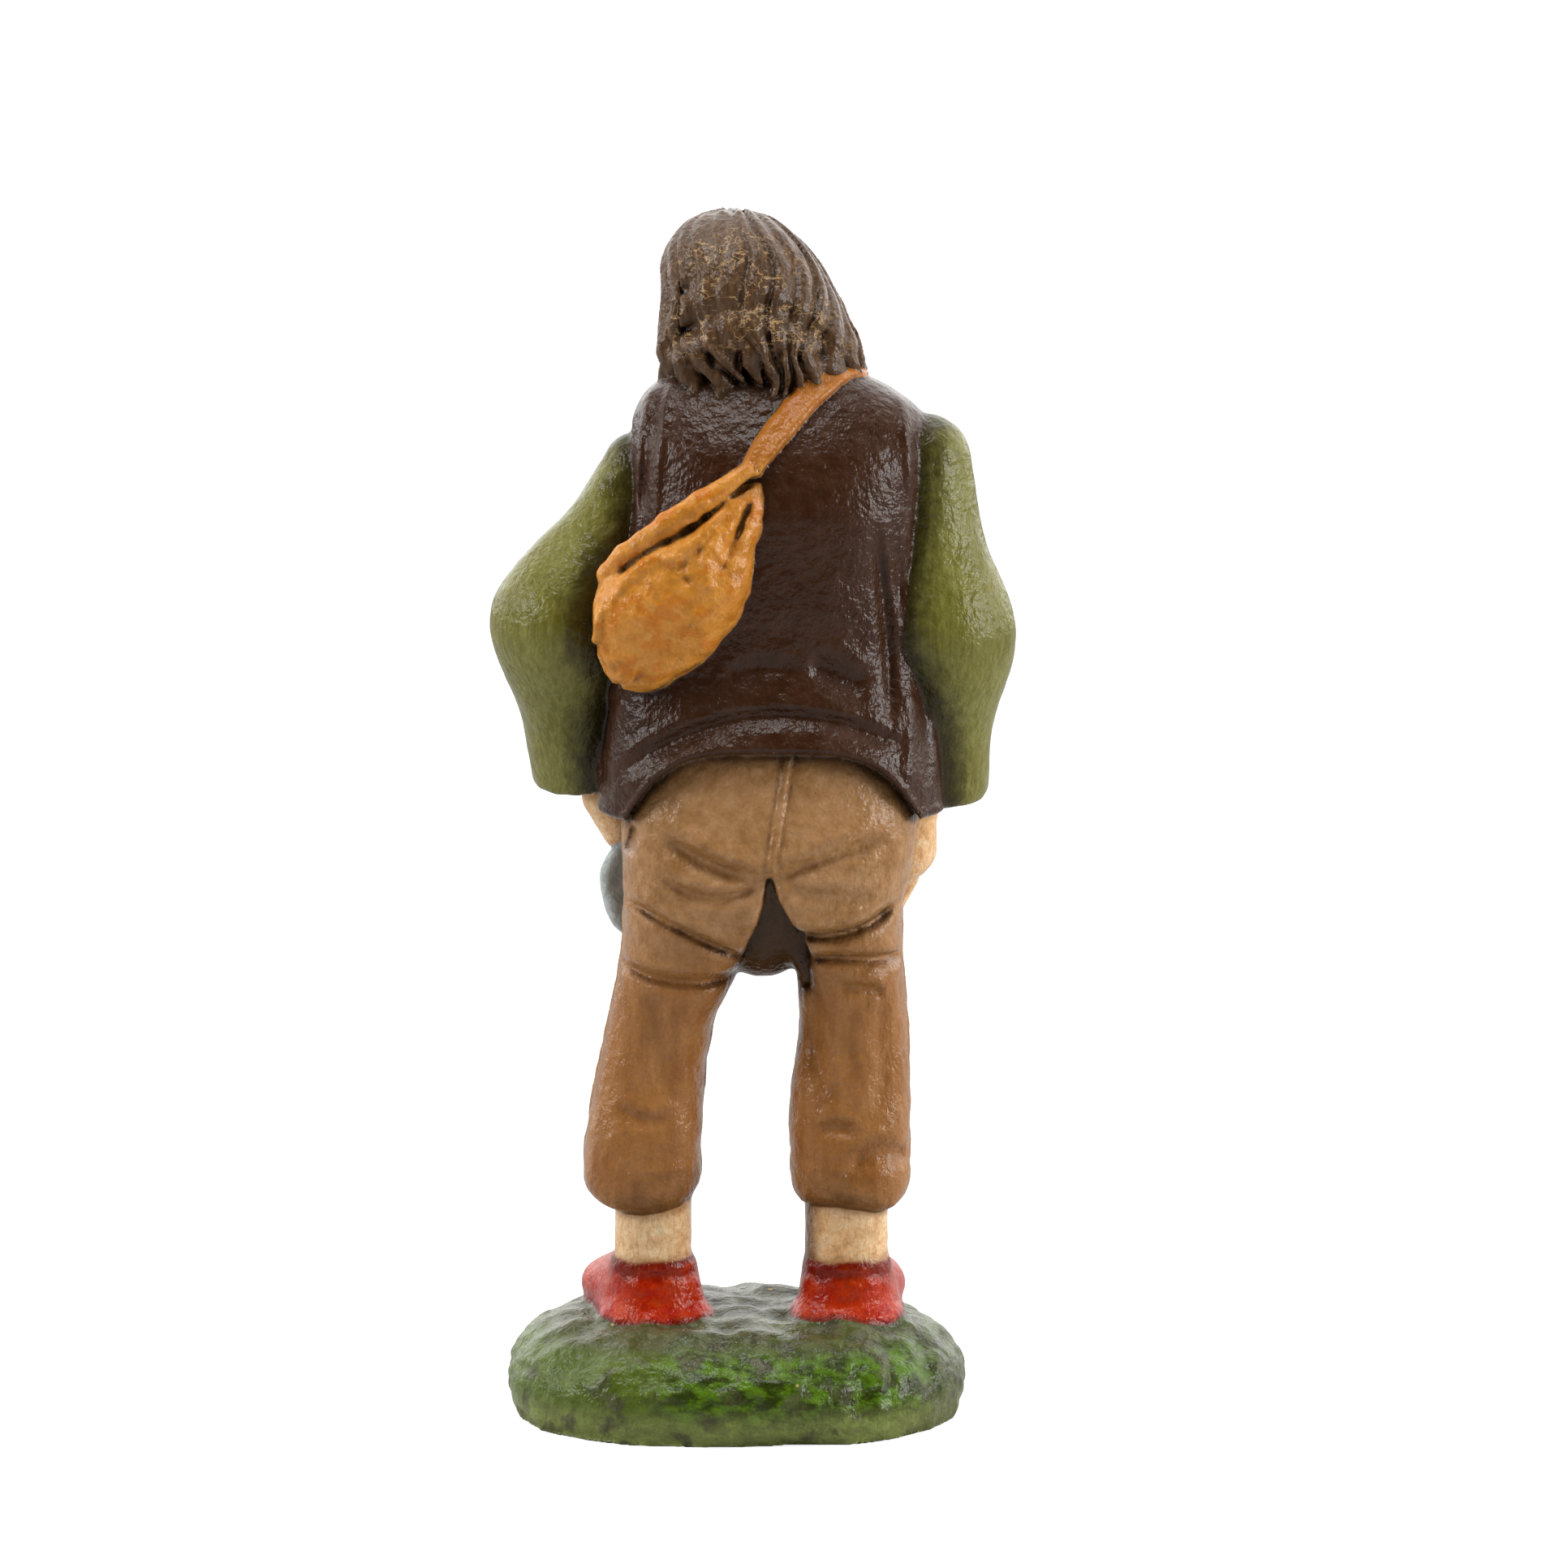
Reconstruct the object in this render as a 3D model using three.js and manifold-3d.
// A painted nativity figure: a shepherd who stands with bowed head, his hat in his left hand and a satchel on his back.
// Lengths are millimetres and angles degrees. +Z is up, the figure faces -Y and his own left hand is on +X.
// The origin is the middle of the flat underside. He was moulded in one piece with his base, so he is one solid.
import * as THREE from "three";
import { MarchingCubes } from "three/addons/objects/MarchingCubes.js";
import { mergeVertices } from "three/addons/utils/BufferGeometryUtils.js";
import Module from "manifold-3d";

const { clamp, degToRad, lerp, smoothstep } = THREE.MathUtils;
const { abs, cos, exp, hypot, max, min, sin } = Math;

// Driving dimensions
const HEIGHT = 119;
const BASE = { halfWidth: 22.6, halfDepth: 17.6, square: 2.4, top: 10.3, edge: 5.8, waist: 3.4, below: 1.5 };
const BODY_X = -3.3;
const CLOTH_SQUARE = 2.5;
const HEM = { side: 60.2, back: 67.2, halfWidth: 15.8, steep: 3.3 };
const TROUSER_HEM = 21.2;
const STRAP = { halfWidth: 1.45, lift: 1.0, x: -1.6, z: 95.6, slope: -0.84, from: 82 };
const TRIANGLES = 9600;
const CELL = 0.64;

// Upright forms are given at key heights: half width, half depth, middle in x and in y.
const LEFT_LEG = [
  { z: 19, w: 5.2, d: 5.6, x: 9.3, y: 1.2 },
  { z: 24, w: 5.75, d: 6.0, x: 9.25, y: 1.2 },
  { z: 28, w: 5.7, d: 6.0, x: 9.1, y: 1.0 },
  { z: 34, w: 5.3, d: 5.9, x: 8.35, y: 0.4 },
  { z: 39, w: 5.2, d: 5.9, x: 7.5, y: 0.2 },
  { z: 44, w: 5.8, d: 6.2, x: 5.8, y: 0.6 },
  { z: 52, w: 6.8, d: 7.4, x: 3.6, y: 1.2 },
  { z: 60, w: 6.6, d: 7.4, x: 3.2, y: 1.6 },
  { z: 68, w: 5.0, d: 5.0, x: 2.6, y: 0.6 },
];
const RIGHT_LEG = [
  { z: 19, w: 5.3, d: 5.6, x: -11.4, y: 1.2 },
  { z: 24, w: 5.9, d: 6.0, x: -11.4, y: 1.2 },
  { z: 28, w: 6.0, d: 6.0, x: -11.3, y: 1.0 },
  { z: 34, w: 5.75, d: 5.9, x: -11.4, y: 0.4 },
  { z: 39, w: 5.35, d: 5.9, x: -11.6, y: 0.2 },
  { z: 44, w: 5.3, d: 6.2, x: -11.3, y: 0.6 },
  { z: 52, w: 6.2, d: 7.4, x: -9.6, y: 1.2 },
  { z: 60, w: 6.6, d: 7.4, x: -10.0, y: 1.6 },
  { z: 68, w: 5.0, d: 5.0, x: -9.4, y: 0.6 },
];
const SEAT = [
  { z: 46, w: 12.0, d: 7.6, x: -2.8, y: 0.9 },
  { z: 52, w: 13.0, d: 9.0, x: -3.0, y: 1.2 },
  { z: 58, w: 14.0, d: 9.5, x: -3.4, y: 1.3 },
  { z: 63, w: 13.9, d: 9.0, x: -3.5, y: 1.0 },
  { z: 68, w: 13.0, d: 8.2, x: -3.3, y: 0.4 },
  { z: 74, w: 11.0, d: 6.6, x: -3.0, y: -0.2 },
];
const VEST = [
  { z: 56, w: 16.4, d: 10.6, x: -3.3, y: 0.7 },
  { z: 64, w: 16.8, d: 10.8, x: -3.3, y: 0.6 },
  { z: 70, w: 16.3, d: 10.2, x: -3.2, y: 0.2 },
  { z: 76, w: 15.3, d: 9.5, x: -2.8, y: -0.5 },
  { z: 84, w: 14.1, d: 9.8, x: -3.1, y: -0.8 },
  { z: 92, w: 14.1, d: 9.9, x: -4.0, y: -1.2 },
  { z: 97, w: 14.4, d: 8.8, x: -4.2, y: -1.8 },
  { z: 99.6, w: 14.1, d: 7.6, x: -4.2, y: -2.3 },
  { z: 102, w: 11.8, d: 6.3, x: -3.4, y: -2.8 },
  { z: 104.5, w: 7.0, d: 4.8, x: -2.9, y: -3.2 },
];
const HAIR = [
  { z: 98, w: 6.0, d: 4.4, x: -2.6, y: -3.2 },
  { z: 101.5, w: 9.6, d: 6.6, x: -2.4, y: -3.0 },
  { z: 104, w: 10.2, d: 7.8, x: -2.3, y: -3.4 },
  { z: 106.6, w: 9.7, d: 8.8, x: -2.1, y: -4.3 },
  { z: 109, w: 9.1, d: 9.3, x: -1.7, y: -5.0 },
  { z: 111.5, w: 8.4, d: 9.2, x: -1.2, y: -5.6 },
  { z: 114, w: 7.6, d: 8.4, x: -0.5, y: -6.0 },
  { z: 116.4, w: 6.0, d: 6.8, x: 0.0, y: -6.2 },
  { z: 118.2, w: 3.9, d: 4.4, x: 0.3, y: -6.3 },
  { z: 119, w: 2.2, d: 2.8, x: 0.4, y: -6.3 },
];

// Round limbs: each joint is a ball, and the cones between them are the limb.
const LEFT_SLEEVE = [
  { x: 10.0, y: -0.8, z: 93.2, r: 5.0 },
  { x: 16.2, y: 0.6, z: 78.4, r: 5.5 },
  { x: 14.8, y: -5.2, z: 62.8, r: 5.3 },
];
const RIGHT_SLEEVE = [
  { x: -17.6, y: -0.8, z: 93.6, r: 5.1 },
  { x: -19.7, y: 0.6, z: 77.4, r: 5.6 },
  { x: -19.7, y: -5.2, z: 61.4, r: 5.3 },
];
const LEFT_HAND = [
  { x: 13.4, y: -6.6, z: 60.6, r: 2.6 },
  { x: 10.6, y: -9.8, z: 56.6, r: 2.7 },
];
const RIGHT_HAND = [
  { x: -17.8, y: -6.4, z: 60, r: 2.7 },
  { x: -16.6, y: -8.8, z: 54.6, r: 2.9 },
  { x: -13.4, y: -10.6, z: 50.6, r: 1.9 },
];

// Forms that lean are built in frames of their own: pitch about x, then roll about y, then yaw about z.
const LEFT_FOOT = { x: 8.0, y: 2.4, z: BASE.top, yaw: 17 };
const RIGHT_FOOT = { x: -11.0, y: 2.4, z: BASE.top, yaw: -7 };
const HEAD = { x: -1.4, y: -6.6, z: 109.3, pitch: 24, roll: 7 };
const HAT = { x: 6.8, y: -11.8, z: 52.0, pitch: -6, yaw: 14 };
const BAG = { x: 5.0, y: 7.4, z: 83.5, roll: 35.6, yaw: -8 };

const SHOE = { halfWidth: 4.7, heel: 4.5, height: 5.7, toe: -8.2, toeLength: 6.2, toeHeight: 3.2 };
const ANKLE = { halfWidth: 3.8, halfDepth: 4.2, y: 1.8 };
const BAG_DEPTH = { tip: 1.7, full: 4.3, behind: 3 };

// Each edge of the satchel is a line square to an angle, at a distance from its middle.
const BAG_EDGES = [
  { angle: 90, far: 6.3 },
  { angle: 38, far: 8.2 },
  { angle: 0, far: 10.3 },
  { angle: -90, far: 6.9 },
  { angle: -133, far: 6.2 },
];

// In the satchel's own frame: its rim, then the slit of its mouth and the two hollows by its strap
const BAG_RIM = [
  { x: -12.2, y: 0.6, z: 5.9, r: 0.8 },
  { x: -7.0, y: 2.0, z: 5.8, r: 0.9 },
  { x: 2.6, y: 2.6, z: 5.8, r: 0.95 },
  { x: 5.4, y: 1.6, z: 5.3, r: 0.9 },
  { x: 6.8, y: 0.4, z: 3.6, r: 0.9 },
];
const BAG_HOLLOWS = [
  [{ x: -8.2, y: 2.6, z: 4.4, r: 0.7 }, { x: -1, y: 3.6, z: 4.3, r: 0.9 }, { x: 6, y: 3.0, z: 4.3, r: 0.8 }],
  [{ x: -10.2, y: 2.6, z: 2.8, r: 0.5 }, { x: -7.4, y: 3.4, z: 0.5, r: 0.8 }, { x: -5.0, y: 4.2, z: -1, r: 0.4 }],
  [{ x: -11.4, y: 1.8, z: 5.0, r: 0.6 }, { x: -10.4, y: 2.2, z: 4.6, r: 0.8 }],
];

// Creases are bent lines that are pressed in, seen from behind (side 1) or from in front (side -1).
const TROUSER_CREASES = [
  { from: [6.1, 58.2], to: [-2.9, 54.9], sag: -0.4, width: 0.9, depth: 1.0, side: 1 },
  { from: [6.1, 55.0], to: [-1.9, 53.0], sag: -0.8, width: 0.8, depth: 0.6, side: 1 },
  { from: [10.9, 52.5], to: [0.1, 48.3], sag: -0.6, width: 0.9, depth: 0.8, side: 1 },
  { from: [10.6, 45.3], to: [0.4, 44.4], sag: -0.8, width: 0.8, depth: 1.0, side: 1 },
  { from: [-4.3, 55.0], to: [-12.3, 58.1], sag: 0.6, width: 0.9, depth: 0.8, side: 1 },
  { from: [-5.5, 54.6], to: [-13.9, 53.3], sag: 0.6, width: 0.8, depth: 0.5, side: 1 },
  { from: [-9.6, 47.4], to: [-15.9, 49.4], sag: 1.2, width: 0.9, depth: 1.0, side: 1 },
  { from: [-14.9, 48.6], to: [-17.4, 54.0], sag: 0.4, width: 0.8, depth: 0.8, side: 1 },
  { from: [-8.0, 45.5], to: [-16.2, 45.4], sag: 0.3, width: 0.8, depth: 1.0, side: 1 },
  { from: [-10.3, 43.8], to: [-14.5, 43.0], sag: 0.2, width: 0.7, depth: 0.5, side: 1 },
  { from: [-8.2, 29.3], to: [-12.0, 29.1], sag: 0.5, width: 0.9, depth: 0.5, side: 1 },
  { from: [-11.1, 25.4], to: [-16.8, 26.6], sag: 1.0, width: 1.4, depth: 0.6, side: 1 },
  { from: [9.6, 46], to: [1.5, 42], sag: 0.8, width: 1.0, depth: 0.7, side: -1 },
  { from: [-14.8, 46], to: [-7.5, 42], sag: -0.8, width: 1.0, depth: 0.7, side: -1 },
  { from: [11.4, 34], to: [5.5, 31], sag: -0.8, width: 1.2, depth: 0.6, side: -1 },
  { from: [-15.6, 34], to: [-8.6, 31], sag: 0.8, width: 1.2, depth: 0.6, side: -1 },
];
const SLEEVE_CREASES = [
  { from: [20.5, 75], to: [12.5, 79], sag: 0.8, width: 1.2, depth: 0.7, side: -1 },
  { from: [20.0, 70], to: [12.0, 75], sag: 0.8, width: 1.1, depth: 0.7, side: -1 },
  { from: [-24.5, 74], to: [-16.5, 78], sag: -0.8, width: 1.2, depth: 0.7, side: -1 },
  { from: [-24.0, 69], to: [-16.5, 74], sag: -0.8, width: 1.1, depth: 0.7, side: -1 },
];
const VEST_CREASES = [
  { from: [9.6, 66.6], to: [-15.2, 68.6], sag: 3.4, width: 1.1, depth: 0.8, side: 1 },
  { from: [-14.7, 86.4], to: [-15.4, 71.4], sag: 0.4, width: 1.0, depth: 0.9, side: 1 },
  { from: [-7.3, 76.2], to: [-12.4, 73.8], sag: 0.2, width: 1.5, depth: 0.5, side: 1 },
  { from: [9.2, 99.5], to: [9.8, 90.5], sag: 0.2, width: 0.8, depth: 0.5, side: 1 },
  { from: [-16.9, 72.0], to: [-19.2, 62.4], sag: 0.6, width: 0.9, depth: 0.7, side: 1 },
  { from: [-15.0, 80], to: [-11.0, 70], sag: 1.2, width: 1.2, depth: 0.7, side: -1 },
  { from: [9.5, 80], to: [5.5, 70], sag: -1.2, width: 1.2, depth: 0.7, side: -1 },
];

// Soft joins of two distances. A distance is below 0 inside a form.
function join(a, b, soft) {
  const overlap = max(soft - abs(a - b), 0) / soft;
  return min(a, b) - (overlap * overlap * soft) / 4;
}

function common(a, b, soft) {
  return -join(-a, -b, soft);
}

function cut(a, b, soft) {
  return common(a, -b, soft);
}

function ellipsoid(dx, dy, dz, rx, ry, rz) {
  const near = hypot(dx / rx, dy / ry, dz / rz);
  const steep = hypot(dx / (rx * rx), dy / (ry * ry), dz / (rz * rz));
  return steep > 0 ? (near * (near - 1)) / steep : -min(rx, ry, rz);
}

// A rounded oblong, measured across: square 2 is an ellipse, and more is boxier.
function oblong(dx, dy, halfWidth, halfDepth, square) {
  const u = abs(dx) / halfWidth;
  const v = abs(dy) / halfDepth;
  const near = (u ** square + v ** square) ** (1 / square);
  if (near < 0.01) return -min(halfWidth, halfDepth);
  const steep = hypot(u ** (square - 1) / halfWidth, v ** (square - 1) / halfDepth) * near ** (1 - square);
  return (near - 1) / steep;
}

function cone(x, y, z, a, b) {
  const [bx, by, bz] = [b.x - a.x, b.y - a.y, b.z - a.z];
  const t = clamp(((x - a.x) * bx + (y - a.y) * by + (z - a.z) * bz) / (bx * bx + by * by + bz * bz), 0, 1);
  return hypot(x - a.x - t * bx, y - a.y - t * by, z - a.z - t * bz) - lerp(a.r, b.r, t);
}

function limb(x, y, z, joints, soft) {
  let far = cone(x, y, z, joints[0], joints[1]);
  for (let i = 2; i < joints.length; i++) far = join(far, cone(x, y, z, joints[i - 1], joints[i]), soft);
  return far;
}

// A smooth curve through the keys of an upright form, read from a table.
function upright(keys, square) {
  const step = 0.25;
  const low = keys[0].z;
  const count = Math.ceil((keys.at(-1).z - low) / step) + 2;
  const heights = keys.map((key) => key.z);
  const curves = ["w", "d", "x", "y"].map((field) => {
    const curve = new THREE.CubicInterpolant(heights, keys.map((key) => key[field]), 1);
    return Array.from({ length: count }, (_, i) => curve.evaluate(low + i * step)[0]);
  });
  return (x, y, z) => {
    const at = clamp((z - low) / step, 0, count - 1.001);
    const i = Math.floor(at);
    const [w, d, cx, cy] = curves.map((curve) => lerp(curve[i], curve[i + 1], at - i));
    return oblong(x - cx, y - cy, w, d, square);
  };
}

// A frame that leans gives a point's own coordinates in it.
function leaning({ x, y, z, pitch = 0, roll = 0, yaw = 0 }) {
  const turn = new THREE.Euler(degToRad(pitch), degToRad(roll), degToRad(yaw), "ZYX");
  const m = new THREE.Matrix4().makeRotationFromEuler(turn).elements;
  return (px, py, pz) => {
    const [dx, dy, dz] = [px - x, py - y, pz - z];
    return [
      m[0] * dx + m[1] * dy + m[2] * dz,
      m[4] * dx + m[5] * dy + m[6] * dz,
      m[8] * dx + m[9] * dy + m[10] * dz,
    ];
  };
}

// How deep the creases press in at a point. Each has a low welt along its upper side, as folded cloth does.
function pressed(x, y, z, creases, middle) {
  let depth = 0;
  for (const { from, to, sag, width, depth: full, side } of creases) {
    const facing = smoothstep(side * (y - middle), 0, 3);
    if (facing === 0) continue;
    const [bx, bz] = [to[0] - from[0], to[1] - from[1]];
    const length = hypot(bx, bz);
    const along = ((x - from[0]) * bx + (z - from[1]) * bz) / (length * length);
    if (along < -0.2 || along > 1.2) continue;
    const bend = 4 * sag * along * (1 - along);
    const off = ((z - from[1]) * bx - (x - from[0]) * bz) / length + bend;
    if (abs(off) > 4 * width) continue;
    const ends = smoothstep(along, -0.12, 0.18) * (1 - smoothstep(along, 0.82, 1.12));
    const up = (Math.sign(bx) || 1) * off;
    const welt = 0.45 * exp(-(((up - 1.7 * width) / width) ** 2));
    depth += facing * ends * full * (exp(-((off / width) ** 2)) - welt);
  }
  return depth;
}

const shapes = {
  leftLeg: upright(LEFT_LEG, CLOTH_SQUARE),
  rightLeg: upright(RIGHT_LEG, CLOTH_SQUARE),
  seat: upright(SEAT, CLOTH_SQUARE),
  torso: upright(VEST, CLOTH_SQUARE),
  hair: upright(HAIR, 2.2),
};
const frames = {
  leftFoot: leaning(LEFT_FOOT),
  rightFoot: leaning(RIGHT_FOOT),
  head: leaning(HEAD),
  hat: leaning(HAT),
  bag: leaning(BAG),
};

// The mound that he stands on: an oval with a round upper edge and a slightly uneven top
function base(x, y, z) {
  const tuck = 0.06 * (z - BASE.waist) ** 2;
  const side = oblong(x, y, BASE.halfWidth - min(tuck, 2), BASE.halfDepth - min(tuck, 2), BASE.square);
  const uneven = 0.35 * sin(0.45 * x + 0.8 * y) * sin(0.5 * y - 0.3 * x + 1);
  const top = z - BASE.top + 0.0015 * (x * x + 1.5 * y * y) - uneven;
  const dents = 0.5 * exp(-(((x + 12.4) / 1.1) ** 2)) + 0.6 * exp(-(((x + 18.6) / 1.2) ** 2));
  const dented = dents * smoothstep(y, 0, 6) * exp(-(((z - 5.6) / 2.6) ** 2));
  return common(side, top, BASE.edge) + dented;
}

function shoe(x, y, z, frame) {
  const [u, v, w] = frame(x, y, z);
  const heel = common(oblong(u, v, SHOE.halfWidth, SHOE.heel, 2.7), w - SHOE.height, 2.2);
  const toe = ellipsoid(u, v - SHOE.toe, w - 1, SHOE.halfWidth + 0.3, SHOE.toeLength, SHOE.toeHeight);
  const instep = ellipsoid(u, v + 3.4, w - 1.6, SHOE.halfWidth - 0.2, 6.4, 4.3);
  const collar = 0.35 * exp(-(((w - SHOE.height + 1.2) / 0.5) ** 2)) * smoothstep(v, 0, 2);
  return join(join(heel, toe, 2), instep, 2) + collar;
}

function shoes(x, y, z) {
  return min(shoe(x, y, z, frames.leftFoot), shoe(x, y, z, frames.rightFoot));
}

function ankles(x, y, z) {
  const left = oblong(x - LEFT_FOOT.x - 0.2, y - ANKLE.y, ANKLE.halfWidth, ANKLE.halfDepth, 2.2);
  const right = oblong(x - RIGHT_FOOT.x, y - ANKLE.y, ANKLE.halfWidth + 0.3, ANKLE.halfDepth, 2.2);
  return common(min(left, right), abs(z - 18.5) - 5.5, 0.5);
}

function trousers(x, y, z) {
  const hem = TROUSER_HEM + 0.3 * sin(0.5 * x) - z;
  const legs = common(min(shapes.leftLeg(x, y, z), shapes.rightLeg(x, y, z)), hem, 2.4);
  const seat = common(shapes.seat(x, y, z), 47.5 - z, 5);
  const crotch = ellipsoid(x + 2.8, y + 0.4, z - 49.4, 5.2, 5, 5.8);
  const whole = join(join(legs, seat, 3.2), crotch, 1.6);
  const cleft = 1.1 * exp(-(((x + 3.3) / 1.1) ** 2)) * smoothstep(y, 3, 7) * (1 - smoothstep(z, 51, 57));
  const seam = 0.25 * exp(-(((x + 3.9) / 0.45) ** 2)) * smoothstep(y, 3, 7) * smoothstep(z, 53, 56);
  return common(whole, z - 72, 1) + pressed(x, y, z, TROUSER_CREASES, 0.5) + cleft - seam;
}

function hemHeight(x, y) {
  const across = min(abs(x - BODY_X) / HEM.halfWidth, 1.15) ** HEM.steep;
  return HEM.side + (HEM.back - HEM.side) * (1 - across) * smoothstep(y, -1, 6);
}

function torso(x, y, z) {
  return common(shapes.torso(x, y, z), z - 104.6, 2);
}

// The shirt shows only where the vest is open in front.
function shirt(x, y, z) {
  return common(torso(x, y, z) + 1.1, lerp(62, 72, smoothstep(y, -4, 3)) - z, 1);
}

function vest(x, y, z, body) {
  const creased = body + pressed(x, y, z, VEST_CREASES, -0.5);
  const hemmed = common(creased, hemHeight(x, y) - z, 1.1);
  const gape = lerp(2.0, 5.4, smoothstep(z, 78, 103));
  const opening = max(abs(x - BODY_X) - gape, y + 3);
  return cut(hemmed, opening, 0.8);
}

function cuffed(x, y, z, joints) {
  const [elbow, wrist] = joints.slice(1);
  const reach = hypot(wrist.x - elbow.x, wrist.y - elbow.y, wrist.z - elbow.z);
  const past =
    ((x - wrist.x) * (wrist.x - elbow.x) + (y - wrist.y) * (wrist.y - elbow.y) + (z - wrist.z) * (wrist.z - elbow.z)) /
    reach;
  return common(limb(x, y, z, joints, 4), past, 1);
}

function sleeves(x, y, z) {
  return min(cuffed(x, y, z, LEFT_SLEEVE), cuffed(x, y, z, RIGHT_SLEEVE)) + pressed(x, y, z, SLEEVE_CREASES, 0);
}

// Four fingers side by side, from the knuckles down
function fingers(x, y, z, { knuckle, tip, across, r }) {
  let far = Infinity;
  for (let i = 0; i < 4; i++) {
    const [sx, sy, sz] = across.map((step) => step * (i - 1.5));
    const a = { x: knuckle[0] + sx, y: knuckle[1] + sy, z: knuckle[2] + sz, r };
    const b = { x: tip[0] + sx, y: tip[1] + sy, z: tip[2] + sz, r: r * 0.8 };
    far = join(far, cone(x, y, z, a, b), 0.3);
  }
  return far;
}

const LEFT_FINGERS = { knuckle: [10.2, -11.4, 56.8], tip: [8.4, -14.6, 53.6], across: [1.25, 0.5, 0.75], r: 1.0 };
const RIGHT_FINGERS = { knuckle: [-16.0, -10.6, 54.2], tip: [-13.4, -11.9, 49.8], across: [1.0, 0.35, 1.15], r: 1.05 };

function hands(x, y, z) {
  const left = join(limb(x, y, z, LEFT_HAND, 2), fingers(x, y, z, LEFT_FINGERS), 0.8);
  const right = join(limb(x, y, z, RIGHT_HAND, 2), fingers(x, y, z, RIGHT_FINGERS), 0.8);
  return min(left, right);
}

function hat(x, y, z) {
  const [u, v, w] = frames.hat(x, y, z);
  const droop = 0.015 * (u * u + w * w);
  const brim = ellipsoid(u, v - droop + 0.3, w, 7.9, 1.15, 5.8);
  const crown = ellipsoid(u, v + 2.2, w, 4.7, 4.0, 3.9);
  const dent = ellipsoid(u, v + 6.8, w, 3.0, 1.5, 1.0);
  return join(brim, cut(crown, dent, 1), 0.9);
}

// Locks of hair fall from the crown as ridges, and curl outward below a band around the head.
function locks(u, v, w, z) {
  const round = Math.atan2(u, v + 0.5);
  const wave = 0.08 * sin(0.5 * w) + 0.1 * smoothstep(w, -4, -8) * sin(1.2 * w);
  const ridge = abs(sin(10 * (round + wave)));
  const fade = smoothstep(hypot(u, v), 1, 5);
  const band = 0.5 * exp(-(((z - 107) / 1.1) ** 2));
  return fade * 0.6 * (ridge - 0.7) - band;
}

function hair(x, y, z) {
  const [u, v, w] = frames.head(x, y, z);
  const tips = 103.2 + 0.6 * sin(2.1 * x) + 0.4 * sin(3.3 * x + 1) - 1.4 * smoothstep(-y, 1, 7);
  const mass = common(shapes.hair(x, y, z), tips - z, 1.6);
  const face = ellipsoid(u, v + 10.4, w + 3.6, 5.0, 6.2, 8.4);
  return cut(common(mass, z - HEIGHT, 1), face, 1.2) - locks(u, v, w, z);
}

function beard(u, v, w) {
  const chin = ellipsoid(u, v + 5.6, w + 8.4, 4.7, 3.6, 4.6);
  const cheeks = cut(ellipsoid(u, v + 3.6, w + 5.2, 5.9, 4.4, 4.4), ellipsoid(u, v + 8.4, w + 2.6, 3.4, 3.6, 3.2), 1);
  let moustache = Infinity;
  for (const side of [-1, 1]) {
    const a = { x: side * 0.5, y: -8.9, z: -4.0, r: 0.85 };
    const b = { x: side * 3.6, y: -7.4, z: -6.0, r: 0.55 };
    moustache = min(moustache, cone(u, v, w, a, b));
  }
  const combed = 0.22 * abs(sin(1.9 * u + 0.3 * sin(1.2 * w)));
  return join(join(chin, cheeks, 1.5), moustache, 0.5) - combed;
}

function face(u, v, w) {
  const skull = ellipsoid(u, v + 2.2, w + 1.6, 5.7, 6.6, 8.2);
  const nose = cone(u, v, w, { x: 0, y: -8.2, z: 0.8, r: 0.75 }, { x: 0, y: -9.7, z: -2.6, r: 1.1 });
  let far = join(skull, nose, 0.9);
  for (const side of [-1, 1]) {
    const brow = cone(u, v, w, { x: side * 0.8, y: -8.3, z: 1.7, r: 0.7 }, { x: side * 3.8, y: -7.0, z: 1.4, r: 0.6 });
    const cheek = ellipsoid(u - side * 2.9, v + 7.0, w + 2.6, 1.7, 1.3, 1.6);
    const socket = ellipsoid(u - side * 2.3, v + 8.9, w - 0.2, 1.3, 1.0, 0.8);
    const eye = ellipsoid(u - side * 2.3, v + 7.2, w - 0.2, 1.1, 1.0, 0.7);
    far = join(join(far, brow, 0.8), cheek, 1.2);
    far = join(cut(far, socket, 0.5), eye, 0.2);
  }
  return far;
}

function neck(x, y, z) {
  return cone(x, y, z, { x: -3.8, y: -3.4, z: 100, r: 5.2 }, { x: -2.4, y: -5.6, z: 107, r: 5.2 });
}

// The satchel is a pouch that narrows to its strap, with a rolled rim along its mouth and hollows at its tip.
function satchel(x, y, z) {
  const [u, v, w] = frames.bag(x, y, z);
  const edges = BAG_EDGES.map(({ angle, far }) => u * cos(degToRad(angle)) + w * sin(degToRad(angle)) - far);
  const outline = edges.reduce((near, edge) => common(near, edge, 2.4));
  const depth = lerp(BAG_DEPTH.tip, BAG_DEPTH.full, smoothstep(u, -13, -2)) - 0.3 * smoothstep(w, 0, 6);
  const pouch = common(common(outline, v - depth, 3.2), -BAG_DEPTH.behind - v, 0.5);
  const hollows = min(...BAG_HOLLOWS.map((hollow) => limb(u, v, w, hollow, 0.3)));
  return join(cut(pouch, hollows, 0.6), limb(u, v, w, BAG_RIM, 0.5), 0.4);
}

// The strap hugs the body along a slanting plane, over the right shoulder and down across the chest.
function strap(x, y, z, body) {
  const off = ((z - STRAP.z) - STRAP.slope * (x - STRAP.x)) / hypot(1, STRAP.slope);
  const groove = 0.4 * exp(-(((off - 0.2) / 0.5) ** 2));
  const band = common(body - STRAP.lift + groove, abs(off) - STRAP.halfWidth, 0.9);
  const behind = smoothstep(y, -2, 2);
  return common(band, lerp(STRAP.from, STRAP.z - 1, behind) - z, 0.5);
}

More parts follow.
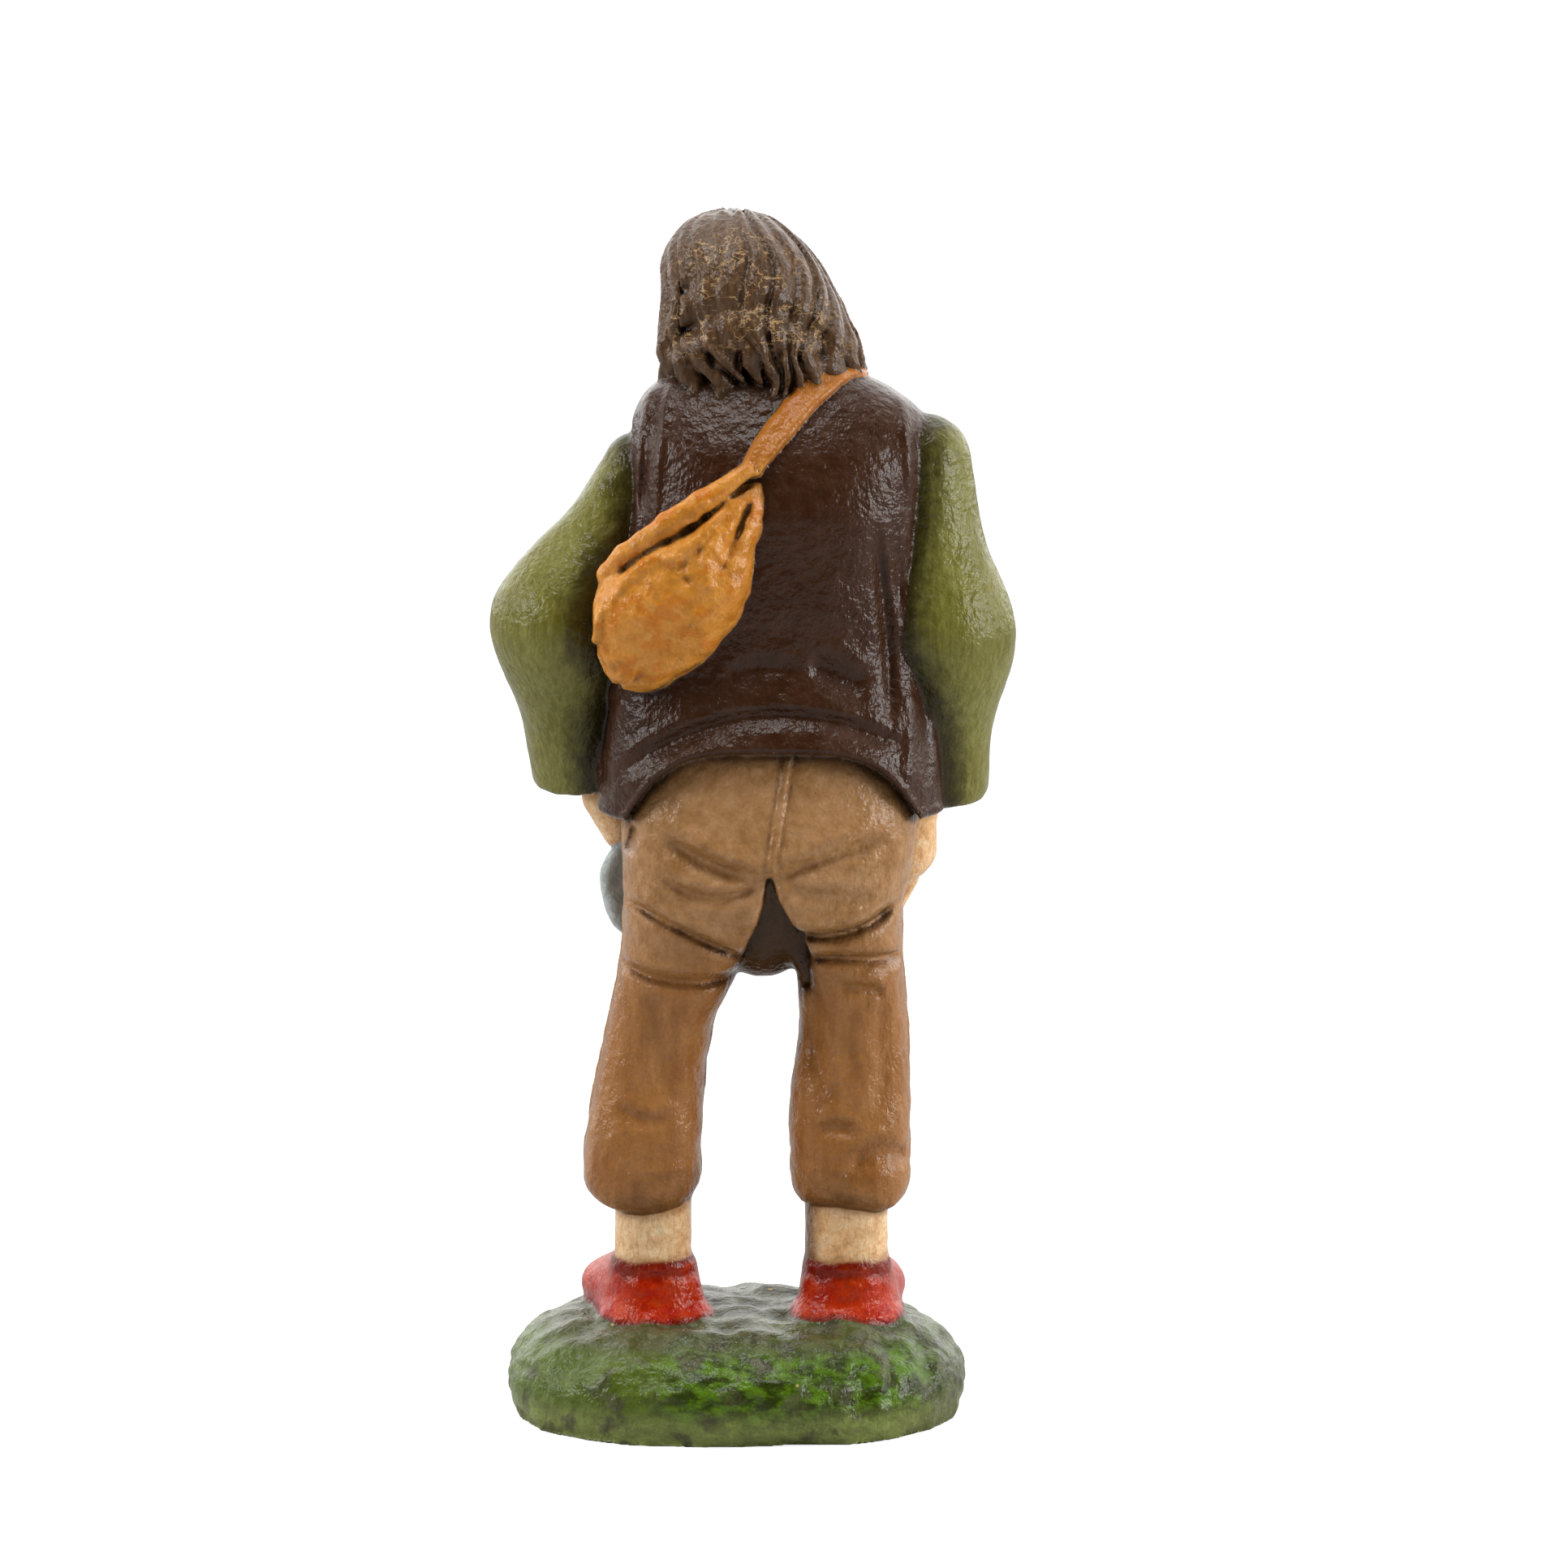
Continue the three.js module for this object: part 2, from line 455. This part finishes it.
function figure(x, y, z) {
  const body = torso(x, y, z);
  const [u, v, w] = frames.head(x, y, z);
  let far = join(base(x, y, z), shoes(x, y, z), 1.2);
  far = join(far, ankles(x, y, z), 0.8);
  far = join(far, trousers(x, y, z), 0.4);
  far = join(far, min(shirt(x, y, z), sleeves(x, y, z)), 0.5);
  far = join(far, vest(x, y, z, body), 0.5);
  far = join(far, hands(x, y, z), 0.5);
  far = join(far, hat(x, y, z), 0.4);
  far = join(far, min(neck(x, y, z), face(u, v, w)), 0.5);
  far = join(far, beard(u, v, w), 0.5);
  far = join(far, hair(x, y, z), 0.5);
  far = join(far, strap(x, y, z, body), 0.3);
  return max(join(far, satchel(x, y, z), 0.4), -BASE.below - z);
}

// The surface where the distance is 0, over a cube that holds the figure. Blocks of cells far from it are skipped.
function surfaceOf(distance) {
  const cells = Math.ceil((HEIGHT + 9) / CELL);
  const low = new THREE.Vector3(-36, -36, -5);
  const block = 4;
  const reach = 1.6 * block * CELL;
  const cubes = new MarchingCubes(cells, undefined, false, false, 300000);
  cubes.isolation = 0;
  cubes.field.fill(-1);
  const at = (i, j, k) => distance(low.x + i * CELL, low.y + j * CELL, low.z + k * CELL);
  for (let k0 = 0; k0 < cells; k0 += block)
    for (let j0 = 0; j0 < cells; j0 += block)
      for (let i0 = 0; i0 < cells; i0 += block) {
        const middle = at(i0 + block / 2, j0 + block / 2, k0 + block / 2);
        if (middle > reach) continue;
        for (let k = k0; k < min(k0 + block, cells); k++)
          for (let j = j0; j < min(j0 + block, cells); j++)
            for (let i = i0; i < min(i0 + block, cells); i++)
              cubes.field[i + j * cells + k * cells * cells] = middle < -reach ? 1 : -at(i, j, k) || -1e-6;
      }
  cubes.update();
  const used = cubes.geometry.drawRange.count;
  const position = cubes.geometry.attributes.position.array.slice(0, used * 3);
  for (let i = 0; i < position.length; i += 3)
    for (const [n, axis] of ["x", "y", "z"].entries())
      position[i + n] = low[axis] + (position[i + n] + 1) * (cells / 2) * CELL;
  const soup = new THREE.BufferGeometry();
  soup.setAttribute("position", new THREE.BufferAttribute(position, 3));
  return mergeVertices(soup, 1e-4);
}

// The largest closed piece of a surface, as lists of points and triangles
function outerShell(geometry) {
  const position = geometry.attributes.position;
  const parent = Array.from({ length: position.count }, (_, i) => i);
  const root = (i) => {
    while (parent[i] !== i) i = parent[i] = parent[parent[i]];
    return i;
  };
  const triangles = [];
  for (let i = 0; i < geometry.index.count; i += 3) {
    const triangle = [0, 1, 2].map((n) => geometry.index.getX(i + n));
    if (new Set(triangle).size < 3) continue;
    triangles.push(triangle);
    for (const n of [1, 2]) parent[root(triangle[n])] = root(triangle[0]);
  }
  const counts = new Map();
  for (const [a] of triangles) counts.set(root(a), (counts.get(root(a)) ?? 0) + 1);
  const biggest = [...counts].sort((a, b) => b[1] - a[1])[0][0];
  const points = parent.map((_, i) => new THREE.Vector3().fromBufferAttribute(position, i));
  return { points, triangles: triangles.filter(([a]) => root(a) === biggest) };
}

// How far a point is from a set of planes: the sum of the squares, as ten numbers
function planeSquares(normal, offset, weight) {
  const n = [normal.x, normal.y, normal.z, offset];
  const squares = [];
  for (let i = 0; i < 4; i++) for (let j = i; j < 4; j++) squares.push(n[i] * n[j] * weight);
  return squares;
}

function squaredError(q, { x, y, z }) {
  const plane = q[0] * x * x + q[4] * y * y + q[7] * z * z + q[9];
  return plane + 2 * (q[1] * x * y + q[2] * x * z + q[3] * x + q[5] * y * z + q[6] * y + q[8] * z);
}

// The point of least error, held a little to the middle of the edge where the surface is flat
function bestPoint(q, middle) {
  const hold = 1e-3 * (q[0] + q[4] + q[7]);
  const m = new THREE.Matrix3().set(
    q[0] + hold, q[1], q[2],
    q[1], q[4] + hold, q[5],
    q[2], q[5], q[7] + hold,
  );
  const right = new THREE.Vector3(hold * middle.x - q[3], hold * middle.y - q[6], hold * middle.z - q[8]);
  return right.applyMatrix3(m.invert());
}

// Edges are merged, the least noticeable first, until few enough triangles are left.
function thinned({ points, triangles }, target, care) {
  const around = points.map(() => new Set());
  const errors = points.map(() => new Array(10).fill(0));
  const sides = [new THREE.Vector3(), new THREE.Vector3()];
  const facing = (a, b, c) => sides[0].subVectors(b, a).cross(sides[1].subVectors(c, a)).clone();
  triangles.forEach(([a, b, c], id) => {
    const normal = facing(points[a], points[b], points[c]);
    const area = normal.length();
    normal.normalize();
    const squares = planeSquares(normal, -normal.dot(points[a]), area * care(points[a]));
    for (const corner of [a, b, c]) {
      around[corner].add(id);
      for (let n = 0; n < 10; n++) errors[corner][n] += squares[n];
    }
  });
  const heap = [];
  const version = new Uint32Array(points.length);
  const swim = (item) => {
    let i = heap.push(item) - 1;
    while (i > 0 && heap[(i - 1) >> 1].cost > item.cost) {
      heap[i] = heap[(i - 1) >> 1];
      i = (i - 1) >> 1;
    }
    heap[i] = item;
  };
  const takeLeast = () => {
    const least = heap[0];
    const item = heap.pop();
    let i = 0;
    while (heap.length > 0) {
      let child = 2 * i + 1;
      if (child >= heap.length) break;
      if (child + 1 < heap.length && heap[child + 1].cost < heap[child].cost) child++;
      if (heap[child].cost >= item.cost) break;
      heap[i] = heap[child];
      i = child;
    }
    if (heap.length > 0) heap[i] = item;
    return least;
  };
  const offer = (a, b) => {
    const q = errors[a].map((value, n) => value + errors[b][n]);
    const middle = points[a].clone().lerp(points[b], 0.5);
    const at = bestPoint(q, middle);
    if (at.distanceTo(middle) > points[a].distanceTo(points[b])) at.copy(middle);
    const cost = squaredError(q, at) + 1e-5 * points[a].distanceToSquared(points[b]);
    swim({ a, b, at, q, cost, stamp: version[a] + version[b] });
  };
  const neighbours = (a) => {
    const found = new Set();
    for (const id of around[a]) for (const corner of triangles[id]) if (corner !== a) found.add(corner);
    return found;
  };
  const turnsOver = (a, b, at) => {
    for (const id of around[a]) {
      const triangle = triangles[id];
      if (triangle.includes(b)) continue;
      const before = facing(...triangle.map((corner) => points[corner]));
      const moved = triangle.map((corner) => (corner === a ? at : points[corner]));
      const after = facing(...moved);
      const longest = max(moved[0].distanceTo(moved[1]), moved[1].distanceTo(moved[2]), moved[2].distanceTo(moved[0]));
      if (before.dot(after) < 0.3 * before.length() * after.length()) return true;
      if (after.length() < 0.12 * longest * longest && after.length() < before.length()) return true;
    }
    return false;
  };
  for (let a = 0; a < points.length; a++) for (const b of neighbours(a)) if (a < b) offer(a, b);
  let left = triangles.length;
  while (left > target && heap.length > 0) {
    const { a, b, at, q, stamp } = takeLeast();
    if (!points[a] || !points[b] || stamp !== version[a] + version[b]) continue;
    const beside = neighbours(b);
    if (!beside.has(a)) continue;
    const shared = [...neighbours(a)].filter((corner) => beside.has(corner));
    if (shared.length !== 2 || turnsOver(a, b, at) || turnsOver(b, a, at)) continue;
    for (const id of around[b]) {
      const triangle = triangles[id];
      if (triangle.includes(a)) {
        for (const corner of triangle) if (corner !== b) around[corner].delete(id);
        triangles[id] = null;
        left--;
      } else {
        triangle[triangle.indexOf(b)] = a;
        around[a].add(id);
      }
    }
    points[a] = at;
    points[b] = null;
    errors[a] = q;
    version[a] += 1 + version[b];
    for (const near of neighbours(a)) offer(a, near);
  }
  return { points, triangles: triangles.filter(Boolean) };
}

const { Manifold, Mesh } = await Module().then((wasm) => {
  wasm.setup();
  return wasm;
});

function solidOf({ points, triangles }) {
  const numbers = new Map();
  const coordinates = [];
  const number = (corner) => {
    if (!numbers.has(corner)) {
      numbers.set(corner, numbers.size);
      coordinates.push(...points[corner].toArray());
    }
    return numbers.get(corner);
  };
  const corners = triangles.flatMap((triangle) => triangle.map(number));
  const mesh = { numProp: 3, vertProperties: new Float32Array(coordinates), triVerts: new Uint32Array(corners) };
  return new Manifold(new Mesh(mesh));
}

function boxSolid(width, depth, height, x, y, z) {
  const box = new THREE.BoxGeometry(width, depth, height).translate(x, y, z);
  for (const name of ["normal", "uv"]) box.deleteAttribute(name);
  const merged = mergeVertices(box);
  const points = Array.from({ length: merged.attributes.position.count }, (_, i) =>
    new THREE.Vector3().fromBufferAttribute(merged.attributes.position, i));
  const index = merged.index.array;
  const triangles = Array.from({ length: index.length / 3 }, (_, i) => [...index.slice(3 * i, 3 * i + 3)]);
  return solidOf({ points, triangles });
}

function geometryOf(solid) {
  const { numProp, vertProperties, triVerts } = solid.getMesh();
  const geometry = new THREE.BufferGeometry();
  geometry.setAttribute("position", new THREE.BufferAttribute(vertProperties.slice(), numProp));
  geometry.setIndex(new THREE.BufferAttribute(triVerts.slice(), 1));
  geometry.computeVertexNormals();
  return geometry;
}

// The head and hands keep more of their triangles than the plain cloth does.
function care({ x, y, z }) {
  if (z > 101) return y < -8 ? 14 : 5;
  if (z < 60 && z > 48 && y < -7.5) return 5;
  return 1;
}

const shell = thinned(outerShell(surfaceOf(figure)), TRIANGLES, care);
const ground = boxSolid(80, 80, 20, 0, 0, -10);
const solid = solidOf(shell).subtract(ground);

const paint = new THREE.MeshStandardMaterial({ name: "painted_composition", color: 0x6b4a36, roughness: 0.5 });
const shepherd = new THREE.Mesh(geometryOf(solid), paint);
shepherd.name = "shepherd_figure";

const group = new THREE.Group();
group.name = "painted_male_figure";
group.add(shepherd);

export default group;
